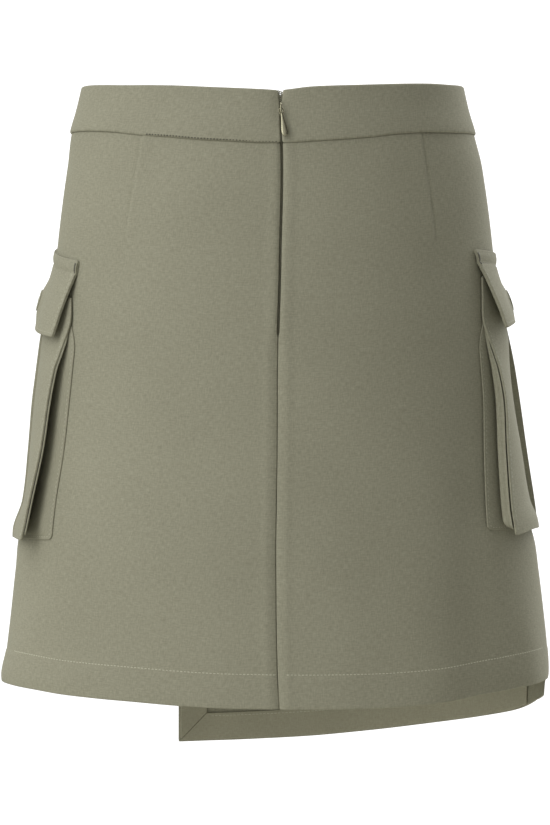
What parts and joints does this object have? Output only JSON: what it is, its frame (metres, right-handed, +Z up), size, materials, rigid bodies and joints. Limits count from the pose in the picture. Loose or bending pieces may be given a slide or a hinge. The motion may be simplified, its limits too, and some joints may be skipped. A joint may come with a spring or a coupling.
{
  "type": "cargo utility skirt, filled out as worn",
  "caption": "A-line mini skirt with a contour waistband, concealed back zip with a hinged pull, bellows side pockets with flaps, and a longer wrap front.",
  "frame": {"origin": "centre of the waist opening, level with the waistband's top edge at the sides", "axes": "+Z up, the wearer faces -Y, +X towards the wearer's left"},
  "size_m": [0.3956, 0.2718, 0.4859],
  "materials": {
    "crepe": "matt sage-khaki double-weave crepe",
    "crepe_inside": "the same crepe, its inner side and facings",
    "zip_tape": "woven zip tape, dyed to match",
    "zip_metal": "satin paint in the cloth's colour",
    "button": "semi-matt resin in the cloth's colour"
  },
  "bodies": {
    "skirt": {"waistband_back_left": "crepe", "waistband_back_right": "crepe", "waistband_front": "crepe", "back_left": "crepe", "back_right": "crepe", "front_under": "crepe", "front_wrap": "crepe", "wrap_hem_facing": "crepe_inside", "wrap_edge_facing": "crepe_inside", "pocket_left_panel": "crepe", "pocket_left_gusset": "crepe", "pocket_left_flap": "crepe", "pocket_right_panel": "crepe", "pocket_right_gusset": "crepe", "pocket_right_flap": "crepe", "flap_button_left": "button", "flap_button_right": "button", "zip_tape_left": "zip_tape", "zip_tape_right": "zip_tape", "zip_slider": "zip_metal"},
    "pull": {"zip_pull": "zip_metal"}
  },
  "joints": [
    {"name": "pull_hinge", "type": "hinge", "parent": "skirt", "child": "pull", "pos_m": [0, 0.10655, -0.0246], "axis": [1, 0, 0], "range_deg": [0, 150]}
  ]
}
